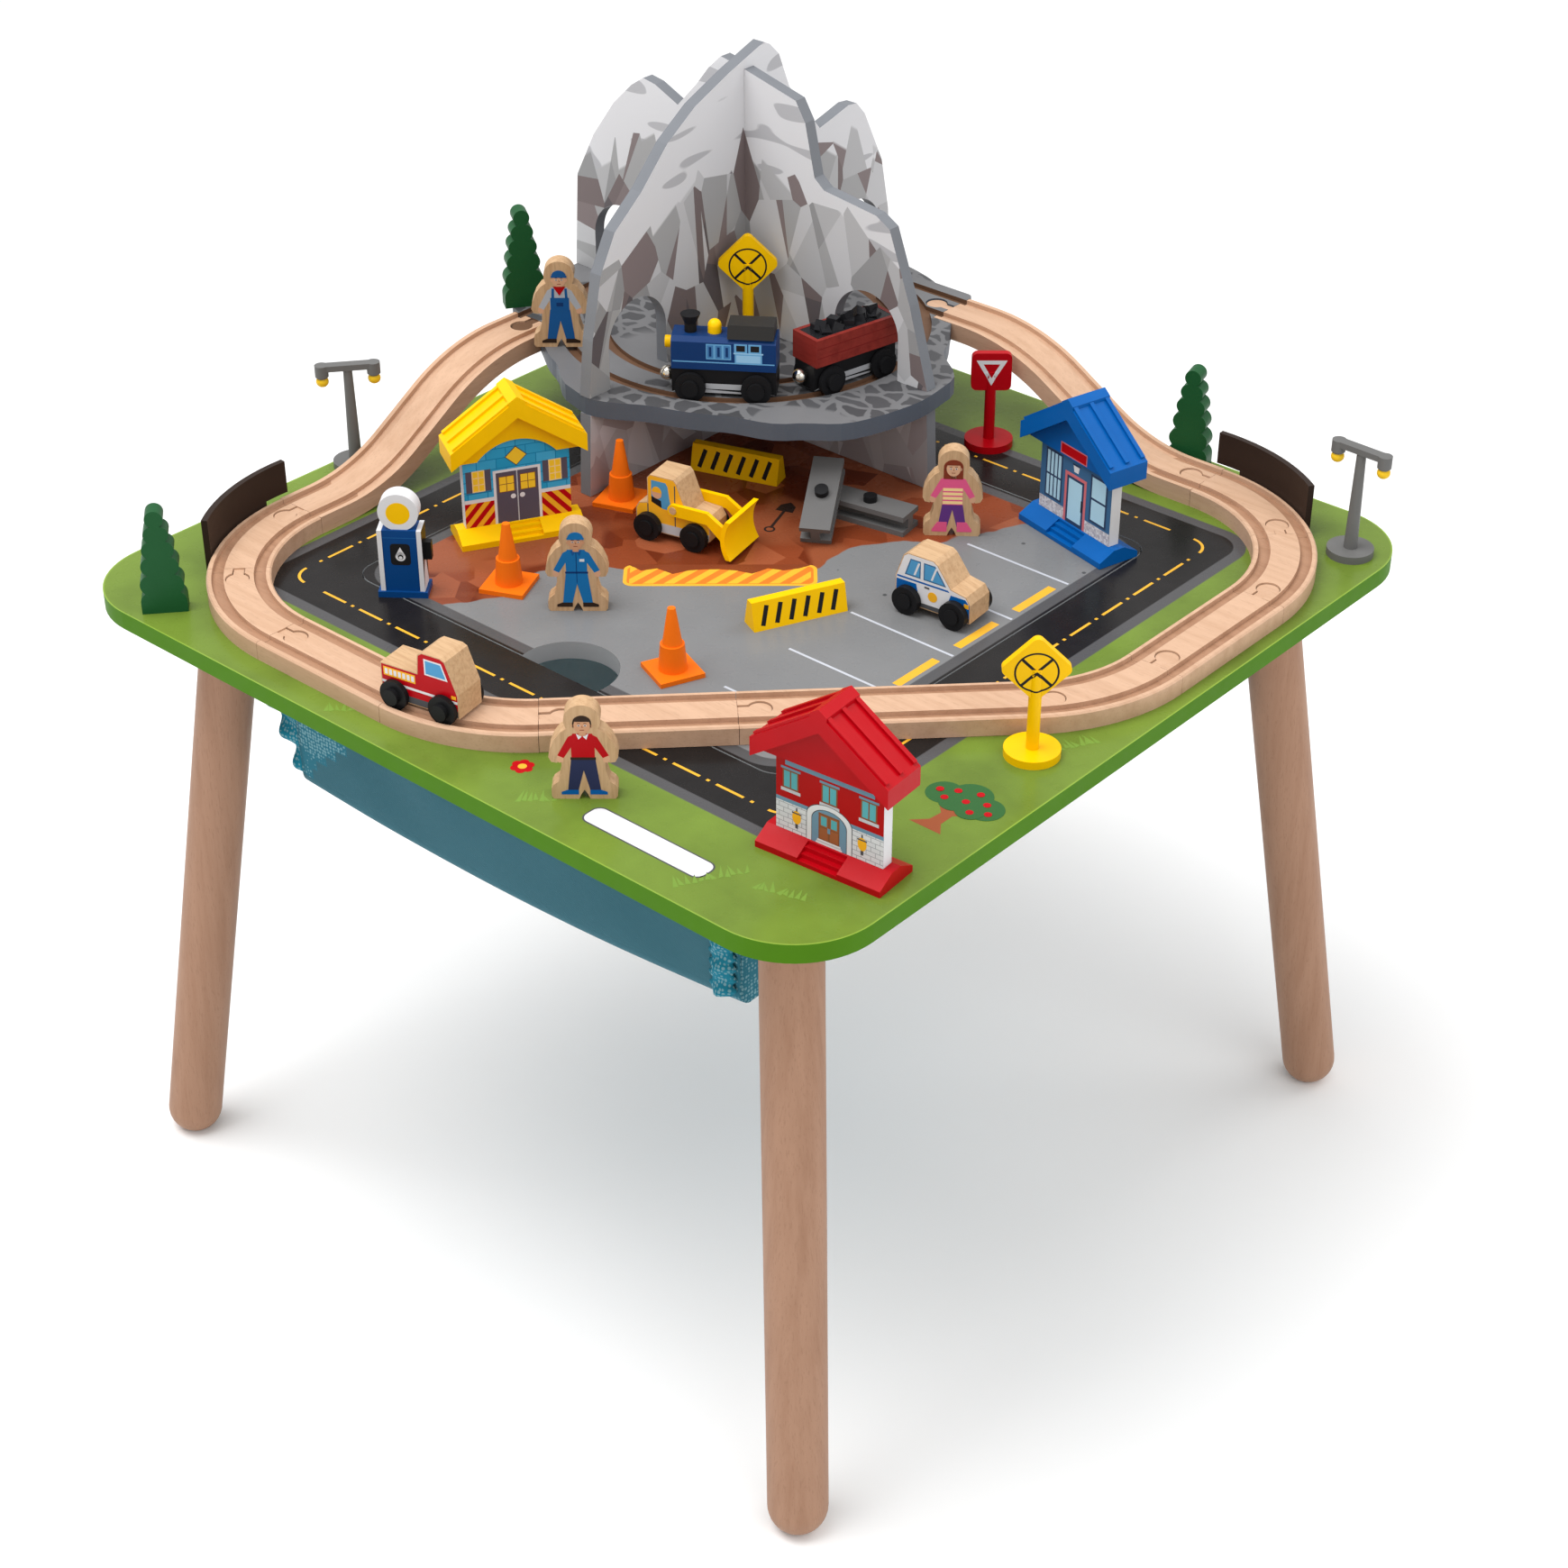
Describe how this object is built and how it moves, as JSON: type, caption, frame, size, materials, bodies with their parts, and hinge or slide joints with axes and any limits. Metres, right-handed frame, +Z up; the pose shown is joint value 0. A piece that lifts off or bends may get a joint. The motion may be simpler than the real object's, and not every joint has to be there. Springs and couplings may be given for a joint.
{
  "type": "train table",
  "caption": "Wooden train table on splayed legs with a lift-out panel over a cloth store, a track loop, a crossed-panel mountain, a train and small town toys.",
  "frame": {"origin": "on the floor under the middle of the table top", "axes": "+Z up, -Y the long straight side in front, +X to the right; top edges along X and Y"},
  "size_m": [0.61, 0.61, 0.7021],
  "materials": {
    "board_green": "gloss lacquer with a printed scene",
    "panel_print": "gloss lacquer with a printed scene",
    "beech": "satin lacquer",
    "pine_block": "raw",
    "steel": "zinc plated",
    "teal_cloth": "woven",
    "teal_net": "open mesh",
    "track_wood": "satin lacquer",
    "guard_brown": "satin paint",
    "rock_print": "gloss lacquer with a printed rock pattern",
    "deck_print": "gloss lacquer with a printed cobble pattern",
    "red_paint": "gloss paint",
    "blue_paint": "gloss paint",
    "yellow_paint": "gloss paint",
    "slate_paint": "gloss paint",
    "cyan_paint": "gloss paint",
    "engine_blue": "gloss paint",
    "black_plastic": "satin",
    "yellow_plastic": "gloss",
    "bare_wood": "printed sides",
    "tree_green": "satin paint",
    "grey_paint": "satin paint",
    "orange_paint": "satin paint"
  },
  "bodies": {
    "table": {"table_top": "board_green", "legs": "beech", "leg_blocks": "pine_block", "leg_bolts": "steel", "wood_screws": "steel", "support_rails": "pine_block", "storage_sling": "teal_cloth", "storage_end_nets": "teal_net", "curved_tracks": "track_wood", "straight_tracks": "track_wood", "left_ramp": "track_wood", "right_ramp": "track_wood", "curve_guards": "guard_brown", "fire_station_base": "red_paint", "fire_station_wall": "red_paint", "fire_station_roof": "red_paint", "table_figure": "bare_wood", "table_trees": "tree_green", "table_signs": "yellow_paint", "lamp_posts": "grey_paint"},
    "panel": {"lift_out_panel": "panel_print", "diagonal_tracks": "track_wood", "police_station_base": "blue_paint", "police_station_wall": "slate_paint", "police_station_roof": "blue_paint", "site_office_base": "yellow_paint", "site_office_wall": "cyan_paint", "site_office_roof": "yellow_paint", "panel_figures": "bare_wood", "traffic_cones": "orange_paint", "barriers": "yellow_paint", "fuel_pump": "blue_paint", "steel_beams": "grey_paint"},
    "mountain": {"mountain_deck": "deck_print", "base_panels": "rock_print", "long_peak_panel": "rock_print", "cross_peak_panel": "rock_print", "deck_figure": "bare_wood", "deck_tree": "tree_green", "deck_sign": "yellow_paint"},
    "engine": {"engine_body": "engine_blue", "engine_chassis": "black_plastic", "engine_fittings": "yellow_plastic"},
    "wagon": {"wagon_box": "red_paint", "wagon_chassis": "black_plastic", "coal_load": "black_plastic"},
    "fire_truck": {"fire_truck_body": "bare_wood"},
    "patrol_car": {"patrol_car_body": "bare_wood"},
    "bulldozer": {"bulldozer_body": "bare_wood"},
    "bulldozer_plow": {"bulldozer_blade": "yellow_plastic"},
    "engine_front_wheels": {"engine_front_axle": "black_plastic"},
    "engine_rear_wheels": {"engine_rear_axle": "black_plastic"},
    "wagon_front_wheels": {"wagon_front_axle": "black_plastic"},
    "wagon_rear_wheels": {"wagon_rear_axle": "black_plastic"},
    "fire_truck_front_wheels": {"fire_truck_front_axle": "black_plastic"},
    "fire_truck_rear_wheels": {"fire_truck_rear_axle": "black_plastic"},
    "patrol_car_front_wheels": {"patrol_car_front_axle": "black_plastic"},
    "patrol_car_rear_wheels": {"patrol_car_rear_axle": "black_plastic"},
    "bulldozer_front_wheels": {"bulldozer_front_axle": "black_plastic"},
    "bulldozer_rear_wheels": {"bulldozer_rear_axle": "black_plastic"}
  },
  "joints": [
    {"name": "panel_lift", "type": "slide", "parent": "table", "child": "panel", "axis": [0, 0, 1], "range_m": [0, 0.12]},
    {"name": "mountain_lift", "type": "slide", "parent": "panel", "child": "mountain", "axis": [0, 0, 1], "range_m": [0, 0.1]},
    {"name": "engine_run", "type": "hinge", "parent": "mountain", "child": "engine", "pos_m": [-0.143, 0.152, 0.51], "axis": [0, 0, 1], "range_deg": [-38, 218]},
    {"name": "wagon_run", "type": "hinge", "parent": "mountain", "child": "wagon", "pos_m": [-0.143, 0.152, 0.51], "axis": [0, 0, 1], "range_deg": [-38, 218]},
    {"name": "engine_front_spin", "type": "hinge", "parent": "engine", "child": "engine_front_wheels", "pos_m": [-0.09874, 0.0513, 0.5172], "axis": [0.5736, -0.8192, 0], "continuous": true},
    {"name": "engine_rear_spin", "type": "hinge", "parent": "engine", "child": "engine_rear_wheels", "pos_m": [-0.06351, 0.07596, 0.5172], "axis": [0.5736, -0.8192, 0], "continuous": true},
    {"name": "wagon_front_spin", "type": "hinge", "parent": "wagon", "child": "wagon_front_wheels", "pos_m": [-0.04113, 0.1105, 0.5172], "axis": [0.982, -0.189, 0], "continuous": true},
    {"name": "wagon_rear_spin", "type": "hinge", "parent": "wagon", "child": "wagon_rear_wheels", "pos_m": [-0.033, 0.15272, 0.5172], "axis": [0.982, -0.189, 0], "continuous": true},
    {"name": "truck_run", "type": "hinge", "parent": "table", "child": "fire_truck", "pos_m": [-0.035, -0.15682, 0.4492], "axis": [0, 0, 1], "range_deg": [0, 18]},
    {"name": "truck_front_spin", "type": "hinge", "parent": "fire_truck", "child": "fire_truck_front_wheels", "pos_m": [0.00242, -0.26026, 0.45845], "axis": [-0.1908, 0.9816, 0], "continuous": true},
    {"name": "truck_rear_spin", "type": "hinge", "parent": "fire_truck", "child": "fire_truck_rear_wheels", "pos_m": [-0.03095, -0.26674, 0.45845], "axis": [-0.1908, 0.9816, 0], "continuous": true},
    {"name": "car_roll", "type": "slide", "parent": "panel", "child": "patrol_car", "axis": [0.9945, 0.1045, 0], "range_m": [-0.025, 0.025]},
    {"name": "car_front_spin", "type": "hinge", "parent": "patrol_car", "child": "patrol_car_front_wheels", "pos_m": [0.14646, 0.02883, 0.44945], "axis": [-0.1045, 0.9945, 0], "continuous": true},
    {"name": "car_rear_spin", "type": "hinge", "parent": "patrol_car", "child": "patrol_car_rear_wheels", "pos_m": [0.11264, 0.02527, 0.44945], "axis": [-0.1045, 0.9945, 0], "continuous": true},
    {"name": "dozer_roll", "type": "slide", "parent": "panel", "child": "bulldozer", "axis": [0.9744, 0.225, 0], "range_m": [-0.01, 0.02]},
    {"name": "dozer_front_spin", "type": "hinge", "parent": "bulldozer", "child": "bulldozer_front_wheels", "pos_m": [-0.04049, -0.00258, 0.44945], "axis": [-0.225, 0.9744, 0], "continuous": true},
    {"name": "dozer_rear_spin", "type": "hinge", "parent": "bulldozer", "child": "bulldozer_rear_wheels", "pos_m": [-0.07361, -0.01022, 0.44945], "axis": [-0.225, 0.9744, 0], "continuous": true},
    {"name": "blade_lift", "type": "hinge", "parent": "bulldozer", "child": "bulldozer_plow", "pos_m": [-0.0551, -0.00595, 0.4652], "axis": [0.225, -0.9744, 0], "range_deg": [0, 35]}
  ],
  "couplings": [
    {"joint": "wagon_run", "follows": "engine_run", "ratio": 1}
  ]
}
